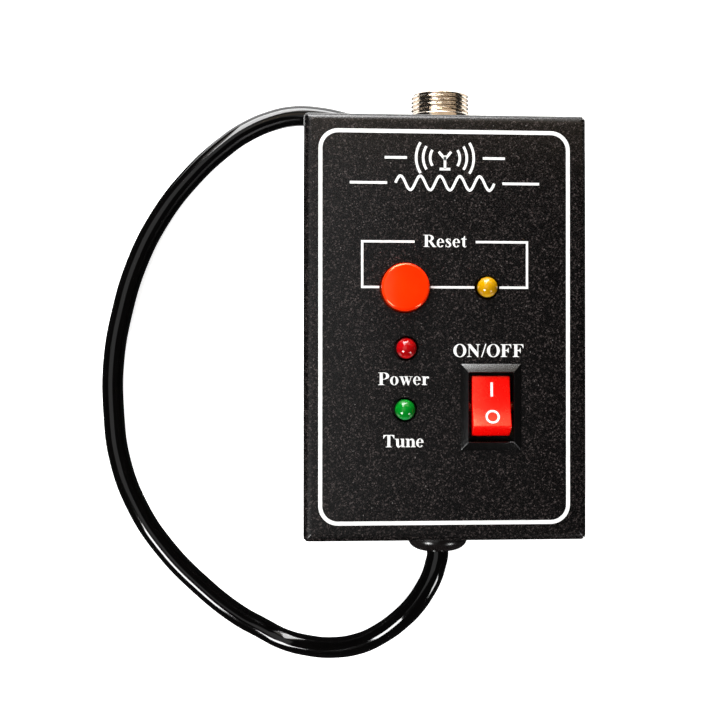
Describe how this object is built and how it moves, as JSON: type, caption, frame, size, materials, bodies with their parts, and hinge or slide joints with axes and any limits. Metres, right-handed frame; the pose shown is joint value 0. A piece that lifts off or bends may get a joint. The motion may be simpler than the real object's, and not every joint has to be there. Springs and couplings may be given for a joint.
{
  "type": "antenna tuner control box",
  "caption": "Small black steel control box with a round reset button, three panel lamps, a red rocker switch, a threaded round socket and a captive cord.",
  "frame": {"origin": "on the surface the box lies on, under the middle of the box and its socket and gland, the free cord left out", "axes": "+Z out of the front panel, +Y towards the threaded socket, +X to the right as the panel is read"},
  "size_m": [0.1223, 0.147, 0.0446],
  "materials": {
    "powder_coat": "fine textured black powder coat, satin",
    "zinc_steel": "bright zinc plate",
    "foot_rubber": "matt moulded rubber",
    "board_green": "green solder mask on glass fibre board",
    "cap_orange": "glossy orange red moulding",
    "black_plastic": "black moulding",
    "tinned_steel": "tinned steel",
    "lens_amber": "diffused amber epoxy",
    "lens_red": "diffused red epoxy",
    "lens_green": "diffused green epoxy",
    "resistor_tan": "lacquered ceramic with colour bands",
    "chip_black": "moulded epoxy package",
    "capacitor_sleeve": "dark blue shrink sleeve",
    "white_plastic": "natural nylon",
    "blue_plastic": "blue moulding",
    "switch_black": "satin black moulding",
    "rocker_red": "glossy red moulding",
    "white_print": "white screen printing ink",
    "brass": "stamped brass",
    "gold_brass": "gold flashed contacts",
    "nickel": "bright nickel plate",
    "gland_rubber": "glossy black rubber",
    "cord_sheath": "glossy black PVC",
    "wire_red": "PVC insulation, one core red and one black",
    "wire_blue": "PVC insulation",
    "tie_black": "hook and loop strap"
  },
  "bodies": {
    "case": {"housing": "powder_coat", "rear_cover": "powder_coat", "corner_posts": "zinc_steel", "cover_screws": "zinc_steel", "rubber_feet": "foot_rubber", "circuit_board": "board_green", "board_posts": "zinc_steel", "board_screws": "zinc_steel", "tact_base": "black_plastic", "tact_cover": "tinned_steel", "tact_dome": "tinned_steel", "reset_led": "lens_amber", "power_led": "lens_red", "tune_led": "lens_green", "led_leads": "tinned_steel", "led_spacers": "black_plastic", "resistors": "resistor_tan", "control_chip": "chip_black", "capacitors": "capacitor_sleeve", "regulator": "chip_black", "signal_header": "white_plastic", "power_terminal_block": "blue_plastic", "switch_body": "switch_black", "switch_terminals": "brass", "socket_shell": "nickel", "socket_insert": "black_plastic", "socket_contacts": "gold_brass", "socket_washer": "zinc_steel", "socket_nut": "nickel", "cord_gland": "gland_rubber", "inner_cord": "cord_sheath", "inner_cable_tie": "white_plastic", "supply_wires": "wire_red", "switched_wire": "wire_red", "signal_wires": "wire_blue", "power_cord": "cord_sheath", "cord_hank": "cord_sheath", "hank_ties": "tie_black", "cord_tail": "cord_sheath", "cord_cores": "wire_red", "ring_terminals": "tinned_steel"},
    "reset_button": {"reset_cap": "cap_orange", "reset_stem": "black_plastic"},
    "rocker_switch": {"rocker": "rocker_red", "rocker_marks": "white_print", "switch_plunger": "white_plastic", "switch_spring": "tinned_steel"},
    "contact_seesaw": {"contact_bridge": "brass"}
  },
  "joints": [
    {"name": "reset_press", "type": "slide", "parent": "case", "child": "reset_button", "axis": [0, 0, -1], "range_m": [0, 0.00035], "stiffness_N_per_m": 2000, "springref_m": -0.0003, "deforming": ["tact_dome"]},
    {"name": "power_rock", "type": "hinge", "parent": "case", "child": "rocker_switch", "pos_m": [0.01085, -0.02107, 0.0375], "axis": [1, 0, 0], "range_deg": [0, 30]},
    {"name": "bridge_rock", "type": "hinge", "parent": "case", "child": "contact_seesaw", "pos_m": [0.01085, -0.02107, 0.0279], "axis": [1, 0, 0], "range_deg": [-16, 0]}
  ],
  "couplings": [
    {"joint": "bridge_rock", "follows": "power_rock", "ratio": -0.53333}
  ]
}
